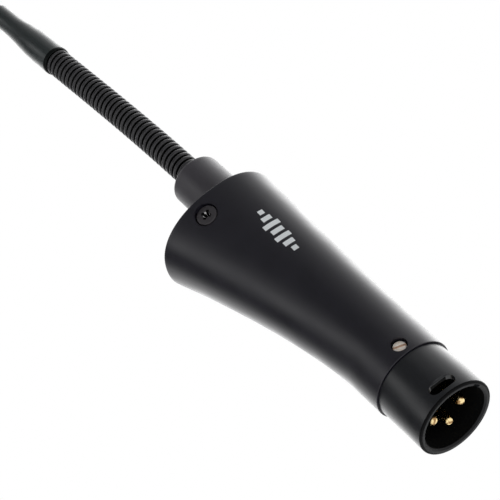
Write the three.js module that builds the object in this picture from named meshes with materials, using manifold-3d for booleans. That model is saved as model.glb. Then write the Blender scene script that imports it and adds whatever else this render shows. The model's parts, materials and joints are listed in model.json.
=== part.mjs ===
// A gooseneck podium microphone with an in-line preamplifier, standing on its 3-pin plug.
// Millimetres, +Z up from the plug to the capsule. The origin is the centre of the plug's mouth, -Y is the
// front (latch window, carrier screw) and -X is the side to which the housing flares.

import * as THREE from 'three';
import { mergeVertices } from 'three/addons/utils/BufferGeometryUtils.js';
import Module from 'manifold-3d';

const wasm = await Module();
wasm.setup();

// ---------------------------------------------------------------- driving dimensions

const GAP = 0.3; // clearance between neighbouring pieces

// plug shell, contacts and carrier
const SHELL_RADIUS = 9.525;
const SHELL_BORE = 8.05;
const SHELL_HEIGHT = 13.5; // mouth to the shoulder under the housing
const SOCKET_DEPTH = 14.5; // mouth to the face of the contact carrier
const SPIGOT_RADIUS = 8.7; // the part of the shell that sits inside the housing
const SPIGOT_BORE = 7.3;
const SPIGOT_TOP = 23;
const MOUTH_EDGE = 0.3;
const LATCH = { height: 3.05, width: 6.4, tall: 2.5 };
const KEYWAY = { angle: 48.3, width: 1.9, inner: 7, outer: 8.85 };
const PIN = { radius: 1.2, circle: 3.81, tip: 2.1, top: 25.6 };
const SOLDER_CUP = { radius: 1.6, bore: 1.0, depth: 3.2 };
const CARRIER_RADIUS = SPIGOT_BORE - GAP;
const CARRIER_TOP = 20.5;
const CARRIER_SCREW = { height: 16.9, radius: 1.55, outer: 9.1, inner: 4.2, hole: 1.85, slot: 0.5 };

// preamplifier housing: round at the plug, egg-shaped and off-centre at the wide end
const HOUSING_BOTTOM = 13.8;
const HOUSING_TOP = 79;
const HOUSING_RADIUS = 9.95;
const HOUSING_WALL = 1.8;
const FLARE_START = 24;
const FLARE_POWER = 1.5;
const WIDE_END = { centre: -2.3, flare: 19.0, straight: 13.8, depth: 14.8, squareness: 0.2 };
const RIM_FILLET = 0.4;

// end cap and its two screws
const CAP_BOTTOM = 70.5;
const CAP_SCREW = {
  height: 74.5,
  angle: -112.4,
  head: 2.5,
  headHeight: 1.4,
  recess: 0.25, // how far the head's face lies under the housing's surface
  shank: 1.25,
  hole: 2.8,
  length: 6.5,
};
const CROSS = { width: 0.6, reach: 1.35, depth: 0.65 };

// neck collar and the nut inside the cap
const NECK_X = 0.46; // the neck stands this far from the plug's axis, away from the flare
const COLLAR_RADIUS = 6.6;
const COLLAR_EDGE = 0.9;
const COLLAR_TOP = 97.6;
const COLLAR_STEM_RADIUS = 4.3;
const COLLAR_STEM_BOTTOM = 65.5;
const COLLAR_BORE = 2.6;
const NUT = { bottom: 66.9, top: 70.2, across: 12 };

// circuit board and what stands on its front
const BOARD = { bottom: 31, top: 60, thickness: 1.6, foot: 6.5, straight: 7.5, flare: 11.5 };
const CHIP = { width: 5, thickness: 1.6, height: 6.2, x: -5, z: 54 };
const CAPACITOR = { radius: 2.4, height: 7, neck: 1.5, x: 3.2, z: 35 };
const CHOKE = { ring: 1.7, winding: 0.7, x: 3, z: 47 };
const PIN_LEAD_RADIUS = 0.5;
const MICROPHONE_LEAD_RADIUS = 0.9;

// The two flexible sections: six hinges each, their axes turned a quarter turn from one to the next. restBends
// are the degrees by which the neck already leans at each hinge, towards the flare.
const HINGES = 6;
const LINK_END_ANGLE = 13.5; // each link's end slopes back this much, so a hinge can turn about 25 degrees
const LOWER_COIL = {
  link: 10.35,
  radius: 3.6,
  bore: 2.0,
  tail: 8,
  restBends: [0.7, 0.7, 0.6, 0.45, 0.25, 0],
};
const UPPER_COIL = {
  link: 9.5,
  radius: 2.7,
  bore: 1.4,
  tail: 8,
  restBends: [0, 0, 0, 0, 0, 0],
};

// stem, measured from the last hinge of the lower section
const SLEEVE = {
  mouth: LOWER_COIL.link / 2,
  end: 34,
  radius: 4.1,
  wall: 0.2,
  taperStart: 16,
  taperEnd: 28,
};
const FERRULE = { bottom: 74.1, top: 87.1, radius: 3.4, edge: 0.4 };
const STEM = {
  bottom: LOWER_COIL.link / 2 + LOWER_COIL.tail + GAP,
  top: FERRULE.top - UPPER_COIL.tail - GAP,
  radius: 2.4,
  bore: 1.8,
};
const UPPER_HINGE = FERRULE.top + UPPER_COIL.link / 2;

// capsule head, measured from the last hinge of the upper section
const HEAD = {
  rear: UPPER_COIL.link / 2,
  rearRadius: 3.6,
  waist: UPPER_COIL.link / 2 + 2,
  waistRadius: 4,
  shoulder: 15,
  radius: 6.1,
  front: 31,
  bore: 5.3,
  floor: 16,
  leadBore: 1.3,
};
const PORTS = { count: 6, width: 1.4, height: 4.5, centre: 20.5 };
const CAPSULE_BOARD = { bottom: 19.4, top: 20.8 };
const CAPSULE_LEAD = { radius: 0.8, bottom: 1.5, top: CAPSULE_BOARD.bottom - 0.4 };
const ELEMENT = { bottom: 22, top: 28.6, edge: 0.6 };
const GASKET = { bottom: 28.9, top: 30.5, bore: 3.6 };
const GRILLE = {
  bottom: HEAD.front + GAP,
  top: 39.5,
  wall: 0.7,
  dome: 3,
  slots: 8,
  slotWidth: 1.3,
  slotHeight: 3.4,
};
const MESH_THICKNESS = 0.5;
const WINDSCREEN = { bottom: 10, top: 48, radius: 11, bore: HEAD.radius + GAP, domeStretch: 1.2 };

// ---------------------------------------------------------------- materials

function finish(color, roughness, metalness) {
  return new THREE.MeshStandardMaterial({ color, roughness, metalness });
}

const SATIN_BLACK = finish(0x1d1d20, 0.45, 0.1);
const COLLAR_BLACK = finish(0x26262a, 0.5, 0.2);
const COIL_BLACK = finish(0x2a2a2d, 0.5, 0.4);
const SLEEVE_BLACK = finish(0x1b2224, 0.3, 0.0);
const GOLD = finish(0xe0a63c, 0.25, 1.0);
const NICKEL = finish(0xcfc6b4, 0.3, 1.0);
const CARRIER_PLASTIC = finish(0x101012, 0.6, 0.0);
const BOARD_GREEN = finish(0x1f5a36, 0.5, 0.0);
const LEAD_GREY = finish(0x55585c, 0.5, 0.0);
const RUBBER = finish(0x141414, 0.8, 0.0);
const FOAM = finish(0x1a1a1b, 0.95, 0.0);

// ---------------------------------------------------------------- geometry helpers

const UP = new THREE.Vector3(0, 0, 1);
const FORWARD = new THREE.Vector3(0, -1, 0);

// Joins shared vertices, drops the slivers left at an axis and turns every face outwards.
function weld(geometry) {
  const source = geometry.clone();
  source.deleteAttribute('normal');
  source.deleteAttribute('uv');
  const welded = mergeVertices(source, 1e-4);
  const index = welded.index.array;
  const corner = [new THREE.Vector3(), new THREE.Vector3(), new THREE.Vector3()];
  const kept = [];
  let volume = 0;
  for (let i = 0; i < index.length; i += 3) {
    const [a, b, c] = [index[i], index[i + 1], index[i + 2]];
    if (a === b || b === c || c === a) continue;
    kept.push(a, b, c);
    corner[0].fromBufferAttribute(welded.attributes.position, a);
    corner[1].fromBufferAttribute(welded.attributes.position, b);
    corner[2].fromBufferAttribute(welded.attributes.position, c);
    volume += corner[0].dot(corner[1].cross(corner[2]));
  }
  if (volume < 0) kept.reverse();
  welded.setIndex(kept);
  return welded;
}

function toSolid(geometry) {
  const welded = weld(geometry);
  return new wasm.Manifold(new wasm.Mesh({
    numProp: 3,
    vertProperties: Float32Array.from(welded.attributes.position.array),
    triVerts: Uint32Array.from(welded.index.array),
  }));
}

function toGeometry(solid) {
  const mesh = solid.getMesh();
  const geometry = new THREE.BufferGeometry();
  geometry.setAttribute('position', new THREE.BufferAttribute(Float32Array.from(mesh.vertProperties), 3));
  geometry.setIndex(Array.from(mesh.triVerts));
  return geometry;
}

function cut(body, ...tools) {
  return toGeometry(tools.reduce((solid, tool) => solid.subtract(toSolid(tool)), toSolid(body)));
}

// A solid of revolution about Z from [radius, height] points. A ring's profile closes on itself.
function turned(profile, sides) {
  const points = profile.map(([radius, height]) => new THREE.Vector2(radius, height));
  const touchesAxis = profile[0][0] === 0 && profile[profile.length - 1][0] === 0;
  if (!touchesAxis) points.push(points[0].clone());
  return weld(new THREE.LatheGeometry(points, sides).rotateX(Math.PI / 2));
}

function rod(radius, bottom, top, sides) {
  const geometry = new THREE.CylinderGeometry(radius, radius, top - bottom, sides);
  return weld(geometry.rotateX(Math.PI / 2).translate(0, 0, (bottom + top) / 2));
}

// A rod that starts at a point and runs along a direction.
function peg(start, direction, radius, length, sides) {
  const geometry = rod(radius, 0, length, sides);
  geometry.applyQuaternion(new THREE.Quaternion().setFromUnitVectors(UP, direction.clone().normalize()));
  return geometry.translate(start.x, start.y, start.z);
}

function block(width, depth, height, x, y, z) {
  return weld(new THREE.BoxGeometry(width, depth, height).translate(x, y, z));
}

// A solid tube or lead of round section along a smooth curve through the points.
function lead(points, radius, steps) {
  const section = new THREE.Shape();
  section.absarc(0, 0, radius, 0, 2 * Math.PI, false);
  const path = new THREE.CatmullRomCurve3(points.map((p) => new THREE.Vector3(...p)));
  const options = { steps, extrudePath: path, curveSegments: 8, bevelEnabled: false };
  return weld(new THREE.ExtrudeGeometry(section, options));
}

// A solid skinned over closed rings of equal length, from the lowest ring to the highest.
function loft(rings) {
  const count = rings[0].length;
  const positions = rings.flat(2);
  const index = [];
  for (let level = 0; level + 1 < rings.length; level++) {
    for (let i = 0; i < count; i++) {
      const next = (i + 1) % count;
      const [a, b] = [level * count + i, level * count + next];
      const [c, d] = [a + count, b + count];
      index.push(a, b, d, a, d, c);
    }
  }
  for (const ring of [rings[0], rings[rings.length - 1]]) {
    const centre = positions.length / 3;
    const first = ring === rings[0] ? 0 : (rings.length - 1) * count;
    positions.push(...[0, 1, 2].map((axis) => ring.reduce((sum, p) => sum + p[axis], 0) / count));
    for (let i = 0; i < count; i++) {
      const next = (i + 1) % count;
      index.push(centre, ...(first === 0 ? [first + next, first + i] : [first + i, first + next]));
    }
  }
  const geometry = new THREE.BufferGeometry();
  geometry.setAttribute('position', new THREE.Float32BufferAttribute(positions, 3));
  geometry.setIndex(index);
  return geometry;
}

function mesh(name, geometry, material) {
  const object = new THREE.Mesh(geometry, material);
  object.name = name;
  return object;
}

function groupAt(parent, x, y, z) {
  const group = new THREE.Group();
  group.position.set(x, y, z);
  parent.add(group);
  return group;
}

// ---------------------------------------------------------------- housing outline

// Half-widths of the housing at a height, drawn in by an inset.
function housingSection(height, inset) {
  const rise = Math.max(height - FLARE_START, 0) / (HOUSING_TOP - FLARE_START);
  const flare = rise ** FLARE_POWER;
  const grow = (end) => HOUSING_RADIUS + (end - HOUSING_RADIUS) * flare - inset;
  return {
    centre: WIDE_END.centre * flare,
    flare: grow(WIDE_END.flare),
    straight: grow(WIDE_END.straight),
    depth: grow(WIDE_END.depth),
    power: 2 / (2 + WIDE_END.squareness * flare),
  };
}

// The outline point at an angle, with +X at 0 degrees and the front at -90.
function housingPoint(height, angle, inset) {
  const section = housingSection(height, inset);
  const [cosine, sine] = [Math.cos(angle), Math.sin(angle)];
  const reach = cosine < 0 ? section.flare : section.straight;
  const x = section.centre + reach * Math.sign(cosine) * Math.abs(cosine) ** section.power;
  const y = section.depth * Math.sign(sine) * Math.abs(sine) ** section.power;
  return [x, y, height];
}

function housingRing(height, sides, inset) {
  return Array.from({ length: sides }, (_, i) => housingPoint(height, (2 * Math.PI * i) / sides, inset));
}

// ---------------------------------------------------------------- plug

function shellGeometry() {
  const body = turned([
    [SHELL_BORE + MOUTH_EDGE, 0], [SHELL_RADIUS - MOUTH_EDGE, 0], [SHELL_RADIUS, MOUTH_EDGE],
    [SHELL_RADIUS, SHELL_HEIGHT], [SPIGOT_RADIUS, SHELL_HEIGHT], [SPIGOT_RADIUS, SPIGOT_TOP],
    [SPIGOT_BORE, SPIGOT_TOP], [SPIGOT_BORE, SOCKET_DEPTH], [SHELL_BORE, SOCKET_DEPTH],
    [SHELL_BORE, MOUTH_EDGE],
  ], 40);
  const half = LATCH.tall / 2;
  const reach = LATCH.width / 2 - half;
  const window = new THREE.Shape();
  window.absarc(reach, 0, half, -Math.PI / 2, Math.PI / 2, false);
  window.absarc(-reach, 0, half, Math.PI / 2, (3 * Math.PI) / 2, false);
  const start = SHELL_BORE - 2;
  const through = SHELL_RADIUS - start + 1;
  const options = { depth: through, curveSegments: 6, bevelEnabled: false };
  const latch = new THREE.ExtrudeGeometry(window, options);
  latch.rotateX(Math.PI / 2).translate(0, -start, LATCH.height);
  const keyDepth = KEYWAY.outer - KEYWAY.inner;
  const key = new THREE.BoxGeometry(KEYWAY.width, keyDepth, SOCKET_DEPTH);
  key.translate(0, -KEYWAY.inner - keyDepth / 2, SOCKET_DEPTH / 2 - GAP);
  key.rotateZ(THREE.MathUtils.degToRad(KEYWAY.angle));
  const screwHole = peg(new THREE.Vector3(0, -start, CARRIER_SCREW.height), FORWARD,
    CARRIER_SCREW.radius + GAP, through, 12);
  return cut(body, latch, key, screwHole);
}

function carrierGeometry() {
  const body = rod(CARRIER_RADIUS, SOCKET_DEPTH, CARRIER_TOP, 28);
  const holes = pinPlaces().map(([x, y]) => (
    rod(PIN.radius + GAP, SOCKET_DEPTH - 1, CARRIER_TOP + 1, 12).translate(x, y, 0)
  ));
  const screwHole = peg(new THREE.Vector3(0, GAP - CARRIER_SCREW.inner, CARRIER_SCREW.height), FORWARD,
    CARRIER_SCREW.radius + GAP, CARRIER_RADIUS, 12);
  return cut(body, ...holes, screwHole);
}

function pinPlaces() {
  return [[PIN.circle, 0], [-PIN.circle, 0], [0, PIN.circle]];
}

function pinGeometry() {
  const cupBottom = CARRIER_TOP + GAP;
  const cupFloor = PIN.top - SOLDER_CUP.depth;
  const tip = [0, 30, 60, 90].map((degrees) => {
    const angle = THREE.MathUtils.degToRad(degrees);
    return [PIN.radius * Math.sin(angle), PIN.tip + PIN.radius * (1 - Math.cos(angle))];
  });
  return turned([
    ...tip, [PIN.radius, cupBottom], [SOLDER_CUP.radius, cupBottom], [SOLDER_CUP.radius, PIN.top],
    [SOLDER_CUP.bore, PIN.top], [SOLDER_CUP.bore, cupFloor], [0, cupFloor],
  ], 12);
}

function carrierScrewGeometry() {
  const start = new THREE.Vector3(0, -CARRIER_SCREW.inner, CARRIER_SCREW.height);
  const length = CARRIER_SCREW.outer - CARRIER_SCREW.inner;
  const body = peg(start, FORWARD, CARRIER_SCREW.radius, length, 16);
  const width = 2 * CARRIER_SCREW.radius + 1;
  const slot = block(width, 2 * CARRIER_SCREW.slot, CARRIER_SCREW.slot, 0, -CARRIER_SCREW.outer,
    CARRIER_SCREW.height);
  return cut(body, slot);
}

function addPlug(parent) {
  parent.add(mesh('plug_shell', shellGeometry(), SATIN_BLACK));
  parent.add(mesh('contact_carrier', carrierGeometry(), CARRIER_PLASTIC));
  pinPlaces().forEach(([x, y], i) => {
    const pin = mesh(`contact_pin_${i + 1}`, pinGeometry(), GOLD);
    pin.position.set(x, y, 0);
    parent.add(pin);
  });
  parent.add(mesh('carrier_screw', carrierScrewGeometry(), NICKEL));
}

// ---------------------------------------------------------------- housing, cap and collar

// Where a cap screw sits on the housing, and the way it faces. side is -1 at the front and 1 at the rear.
function capScrewPlace(side) {
  const angle = THREE.MathUtils.degToRad(CAP_SCREW.angle * -side);
  const [x, y] = housingPoint(CAP_SCREW.height, angle, 0);
  const [x1, y1] = housingPoint(CAP_SCREW.height, angle + 0.01, 0);
  const [x0, y0] = housingPoint(CAP_SCREW.height, angle - 0.01, 0);
  const outward = new THREE.Vector3(y1 - y0, x0 - x1, 0).normalize();
  return { point: new THREE.Vector3(x, y, CAP_SCREW.height), outward };
}

function housingGeometry() {
  const sides = 44;
  const levels = [HOUSING_BOTTOM, FLARE_START, 33, 42, 51, 60, 69, HOUSING_TOP - RIM_FILLET];
  const outer = loft([
    ...levels.map((height) => housingRing(height, sides, 0)),
    housingRing(HOUSING_TOP - RIM_FILLET * 0.3, sides, RIM_FILLET * 0.3),
    housingRing(HOUSING_TOP, sides, RIM_FILLET),
  ]);
  const inner = loft([FLARE_START, 38, 52, 66, HOUSING_TOP + 1].map((height) => (
    housingRing(height, sides, HOUSING_WALL)
  )));
  const bore = rod(SPIGOT_RADIUS + GAP, HOUSING_BOTTOM - 1, FLARE_START + 1, 40);
  const screwHole = peg(new THREE.Vector3(0, -SPIGOT_RADIUS, CARRIER_SCREW.height), FORWARD,
    CARRIER_SCREW.hole, HOUSING_RADIUS - SPIGOT_RADIUS + 1, 16);
  const capHoles = [-1, 1].map((side) => {
    const { point, outward } = capScrewPlace(side);
    const start = point.clone().addScaledVector(outward, -HOUSING_WALL - 2);
    return peg(start, outward, CAP_SCREW.hole, HOUSING_WALL + 4, 18);
  });
  return cut(outer, inner, bore, screwHole, ...capHoles);
}

function endCapGeometry() {
  const inset = HOUSING_WALL + GAP;
  const middle = (CAP_BOTTOM + HOUSING_TOP) / 2;
  const body = loft([CAP_BOTTOM, middle, HOUSING_TOP].map((height) => housingRing(height, 44, inset)));
  const hole = rod(COLLAR_STEM_RADIUS + GAP, CAP_BOTTOM - 1, HOUSING_TOP + 1, 24).translate(NECK_X, 0, 0);
  const tapDepth = CAP_SCREW.length + 2;
  const taps = [-1, 1].map((side) => {
    const { point, outward } = capScrewPlace(side);
    const start = point.clone().addScaledVector(outward, -tapDepth);
    return peg(start, outward, CAP_SCREW.shank + GAP, tapDepth, 12);
  });
  return cut(body, hole, ...taps);
}

function capScrewGeometry(side) {
  const { point, outward } = capScrewPlace(side);
  const face = -CAP_SCREW.recess;
  const head = rod(CAP_SCREW.head, face - CAP_SCREW.headHeight, face, 20);
  const shank = rod(CAP_SCREW.shank, face - CAP_SCREW.length, face - CAP_SCREW.headHeight / 2, 12);
  const crossArms = [
    block(2 * CROSS.reach, CROSS.width, 2 * CROSS.depth, 0, 0, face),
    block(CROSS.width, 2 * CROSS.reach, 2 * CROSS.depth, 0, 0, face),
  ];
  const solid = toSolid(head).add(toSolid(shank));
  const screw = toGeometry(crossArms.reduce((whole, arm) => whole.subtract(toSolid(arm)), solid));
  screw.applyQuaternion(new THREE.Quaternion().setFromUnitVectors(UP, outward));
  return screw.translate(point.x, point.y, point.z);
}

function collarGeometry() {
  const socket = LOWER_COIL.radius + GAP;
  const socketFloor = COLLAR_TOP - LOWER_COIL.tail - 2;
  const bend = COLLAR_EDGE * (1 - Math.SQRT1_2);
  return turned([
    [COLLAR_STEM_RADIUS, COLLAR_STEM_BOTTOM], [COLLAR_STEM_RADIUS, HOUSING_TOP + GAP],
    [COLLAR_RADIUS, HOUSING_TOP + GAP], [COLLAR_RADIUS, COLLAR_TOP - COLLAR_EDGE],
    [COLLAR_RADIUS - bend, COLLAR_TOP - bend], [COLLAR_RADIUS - COLLAR_EDGE, COLLAR_TOP],
    [socket, COLLAR_TOP], [socket, socketFloor],
    [COLLAR_BORE, socketFloor], [COLLAR_BORE, COLLAR_STEM_BOTTOM],
  ], 32);
}

function nutGeometry() {
  const hexagon = rod(NUT.across / 2 / Math.cos(Math.PI / 6), NUT.bottom, NUT.top, 6);
  return cut(hexagon, rod(COLLAR_STEM_RADIUS + GAP, NUT.bottom - 1, NUT.top + 1, 20));
}

function addHousing(parent) {
  parent.add(mesh('preamp_housing', housingGeometry(), SATIN_BLACK));
  parent.add(mesh('end_cap', endCapGeometry(), SATIN_BLACK));
  parent.add(mesh('cap_screw_front', capScrewGeometry(-1), SATIN_BLACK));
  parent.add(mesh('cap_screw_rear', capScrewGeometry(1), SATIN_BLACK));
  const neck = groupAt(parent, NECK_X, 0, 0);
  neck.add(mesh('neck_collar', collarGeometry(), COLLAR_BLACK));
  neck.add(mesh('neck_nut', nutGeometry(), NICKEL));
}

// ---------------------------------------------------------------- preamplifier

function boardGeometry() {
  const outline = new THREE.Shape();
  outline.moveTo(-BOARD.foot, BOARD.bottom);
  outline.lineTo(BOARD.foot, BOARD.bottom);
  outline.lineTo(BOARD.straight, BOARD.top);
  outline.lineTo(-BOARD.flare, BOARD.top);
  const board = new THREE.ExtrudeGeometry(outline, { depth: BOARD.thickness, bevelEnabled: false });
  return weld(board.rotateX(Math.PI / 2).translate(0, BOARD.thickness / 2, 0));
}

function capacitorGeometry() {
  const { radius, height, neck } = CAPACITOR;
  const edge = 0.3;
  return turned([
    [0, 0], [radius - edge, 0], [radius, edge], [radius, neck - edge], [radius - edge, neck],
    [radius, neck + edge], [radius, height - edge], [radius - edge, height], [0, height],
  ], 14);
}

function addPreamp(parent) {
  const front = -BOARD.thickness / 2 - GAP;
  parent.add(mesh('preamp_board', boardGeometry(), BOARD_GREEN));
  const chip = block(CHIP.width, CHIP.thickness, CHIP.height, CHIP.x, front - CHIP.thickness / 2, CHIP.z);
  parent.add(mesh('preamp_chip', chip, CARRIER_PLASTIC));
  [-1, 1].forEach((side, i) => {
    const capacitor = mesh(`output_capacitor_${i + 1}`, capacitorGeometry(), LEAD_GREY);
    capacitor.position.set(side * CAPACITOR.x, front - CAPACITOR.radius, CAPACITOR.z);
    parent.add(capacitor);
    const ring = weld(new THREE.TorusGeometry(CHOKE.ring, CHOKE.winding, 6, 14).rotateX(Math.PI / 2));
    const choke = mesh(`rf_choke_${i + 1}`, ring, LEAD_GREY);
    choke.position.set(side * CHOKE.x, front - CHOKE.winding, CHOKE.z);
    parent.add(choke);
  });
  const back = BOARD.thickness / 2 + GAP + PIN_LEAD_RADIUS;
  pinPlaces().forEach(([x, y], i) => {
    const route = [
      [x, y, 23], [x, y, 26.2], [x, Math.max(back, y * 0.6), 29.6], [x, back, 34], [x, back, 38],
    ];
    parent.add(mesh(`pin_lead_${i + 1}`, lead(route, PIN_LEAD_RADIUS, 8), LEAD_GREY));
  });
  const side = front - MICROPHONE_LEAD_RADIUS;
  const route = [
    [0, side, 55], [0, side, 60.5], [NECK_X, side / 3, 65], [NECK_X, 0, 70], [NECK_X, 0, 84],
    [NECK_X, 0, 100],
  ];
  parent.add(mesh('neck_lead', lead(route, MICROPHONE_LEAD_RADIUS, 14), LEAD_GREY));
}

// ---------------------------------------------------------------- neck

// One link of a flexible section, measured from the hinge below it. Its ends slope back from the hinges.
function linkGeometry(coil, bottom, top, slopedBottom, slopedTop) {
  const slope = Math.tan(THREE.MathUtils.degToRad(LINK_END_ANGLE));
  const setback = (sloped, radius) => (sloped ? GAP / 2 + radius * slope : 0);
  return turned([
    [coil.bore, bottom + setback(slopedBottom, coil.bore)],
    [coil.radius, bottom + setback(slopedBottom, coil.radius)],
    [coil.radius, top - setback(slopedTop, coil.radius)],
    [coil.bore, top - setback(slopedTop, coil.bore)],
  ], 18);
}

// Adds a flexible section whose first hinge is at the group's origin. Returns the group at its last hinge.
function addCoil(parent, name, coil) {
  const rootBottom = -coil.link / 2 - coil.tail;
  parent.add(mesh(`${name}_0`, linkGeometry(coil, rootBottom, 0, false, true), COIL_BLACK));
  let place = parent;
  for (let hinge = 1; hinge <= HINGES; hinge++) {
    place = groupAt(place, 0, 0, hinge === 1 ? 0 : coil.link);
    place.rotation.y = -THREE.MathUtils.degToRad(coil.restBends[hinge - 1]);
    const last = hinge === HINGES;
    const top = last ? coil.link / 2 + coil.tail : coil.link;
    place.add(mesh(`${name}_${hinge}`, linkGeometry(coil, 0, top, true, !last), COIL_BLACK));
  }
  return place;
}

function sleeveGeometry() {
  const { mouth, end, radius, wall, taperStart, taperEnd } = SLEEVE;
  const narrow = STEM.radius + GAP + wall;
  return turned([
    [radius, mouth], [radius, taperStart], [narrow, taperEnd], [narrow, end],
    [narrow - wall, end], [narrow - wall, taperEnd], [radius - wall, taperStart], [radius - wall, mouth],
  ], 24);
}

function ferruleGeometry() {
  const { bottom, top, radius, edge } = FERRULE;
  const seat = STEM.top + GAP / 2;
  return turned([
    [radius - edge, bottom], [radius, bottom + edge], [radius, top - edge], [radius - edge / 2, top],
    [UPPER_COIL.radius + GAP, top], [UPPER_COIL.radius + GAP, seat],
    [STEM.radius + GAP, seat], [STEM.radius + GAP, bottom],
  ], 24);
}

function addStem(parent) {
  const { bottom, top, radius, bore } = STEM;
  const pipe = turned([[bore, bottom], [radius, bottom], [radius, top], [bore, top]], 18);
  parent.add(mesh('neck_sleeve', sleeveGeometry(), SLEEVE_BLACK));
  parent.add(mesh('stem_tube', pipe, SATIN_BLACK));
  parent.add(mesh('stem_ferrule', ferruleGeometry(), SATIN_BLACK));
  parent.add(mesh('stem_lead', rod(MICROPHONE_LEAD_RADIUS, 2, UPPER_HINGE - 1.5, 8), LEAD_GREY));
}

// ---------------------------------------------------------------- head

function headGeometry() {
  const socket = UPPER_COIL.radius + GAP;
  const socketTop = HEAD.rear + UPPER_COIL.tail + GAP;
  const body = turned([
    [HEAD.rearRadius, HEAD.rear], [HEAD.waistRadius, HEAD.waist],
    [HEAD.radius - 0.5, HEAD.shoulder - 2.5], [HEAD.radius, HEAD.shoulder],
    [HEAD.radius, HEAD.front], [HEAD.bore, HEAD.front],
    [HEAD.bore, HEAD.floor], [HEAD.leadBore, HEAD.floor], [HEAD.leadBore, socketTop], [socket, socketTop],
    [socket, HEAD.rear],
  ], 28);
  const ports = Array.from({ length: PORTS.count }, (_, i) => {
    const port = block(PORTS.width, 3, PORTS.height, 0, -HEAD.radius, PORTS.centre);
    return port.rotateZ((2 * Math.PI * i) / PORTS.count);
  });
  return cut(body, ...ports);
}

function grilleGeometry() {
  const { bottom, top, wall, dome, slots, slotWidth, slotHeight } = GRILLE;
  const outer = HEAD.radius;
  const shoulder = (reach) => [30, 60, 90].map((degrees) => {
    const angle = THREE.MathUtils.degToRad(degrees);
    return [outer - dome + reach * Math.cos(angle), top - dome + reach * Math.sin(angle)];
  });
  const body = turned([
    [outer - wall, bottom], [outer, bottom], [outer, top - dome], ...shoulder(dome), [0, top],
    [0, top - wall], ...shoulder(dome - wall).reverse(), [outer - wall, top - dome],
  ], 28);
  const tools = Array.from({ length: slots }, (_, i) => {
    const slot = block(slotWidth, 3, slotHeight, 0, -outer, bottom + 3);
    return slot.rotateZ((2 * Math.PI * i) / slots);
  });
  return cut(body, ...tools);
}

function windscreenGeometry() {
  const { bottom, top, radius, bore, domeStretch } = WINDSCREEN;
  const rows = 8;
  const dome = Array.from({ length: rows }, (_, i) => {
    const angle = (Math.PI / 2) * (i / rows);
    return [radius * Math.cos(angle), top - radius * domeStretch * (1 - Math.sin(angle))];
  });
  const innerTop = GRILLE.top + 0.5;
  return turned([
    [0, innerTop], [bore, innerTop], [bore, bottom], [bore + 1.6, bottom], [radius - 1.2, bottom + 2],
    [radius - 0.2, bottom + 7], ...dome, [0, top],
  ], 24);
}

function addHead(parent) {
  const chamber = HEAD.bore - GAP;
  const element = turned([
    [0, ELEMENT.bottom], [chamber, ELEMENT.bottom], [chamber, ELEMENT.top - ELEMENT.edge],
    [chamber - ELEMENT.edge, ELEMENT.top], [0, ELEMENT.top],
  ], 20);
  const gasket = turned([
    [GASKET.bore, GASKET.bottom], [chamber, GASKET.bottom], [chamber, GASKET.top],
    [GASKET.bore, GASKET.top],
  ], 20);
  const wire = rod(CAPSULE_LEAD.radius, CAPSULE_LEAD.bottom, CAPSULE_LEAD.top, 8);
  const meshBottom = GRILLE.bottom + GAP;
  parent.add(mesh('capsule_housing', headGeometry(), SATIN_BLACK));
  parent.add(mesh('capsule_lead', wire, LEAD_GREY));
  parent.add(mesh('capsule_board', rod(chamber, CAPSULE_BOARD.bottom, CAPSULE_BOARD.top, 20), BOARD_GREEN));
  parent.add(mesh('capsule_element', element, NICKEL));
  parent.add(mesh('capsule_gasket', gasket, RUBBER));
  parent.add(mesh('grille_mesh', rod(chamber, meshBottom, meshBottom + MESH_THICKNESS, 20), COIL_BLACK));
  parent.add(mesh('capsule_grille', grilleGeometry(), SATIN_BLACK));
  parent.add(mesh('windscreen', windscreenGeometry(), FOAM));
}

// ---------------------------------------------------------------- assembly

const microphone = new THREE.Group();
addPlug(microphone);
addHousing(microphone);
addPreamp(microphone);
const neckBase = groupAt(microphone, NECK_X, 0, COLLAR_TOP + LOWER_COIL.link / 2);
const stem = addCoil(neckBase, 'lower_coil', LOWER_COIL);
addStem(stem);
const stemTop = groupAt(stem, 0, 0, UPPER_HINGE);
const head = addCoil(stemTop, 'upper_coil', UPPER_COIL);
addHead(head);

export default microphone;
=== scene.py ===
"""Looks for the gooseneck podium microphone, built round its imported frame. Metres, +Z up, -Y the front."""

import json
import math

import bmesh
import bpy
import numpy as np
from mathutils import Matrix, Quaternion, Vector

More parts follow.
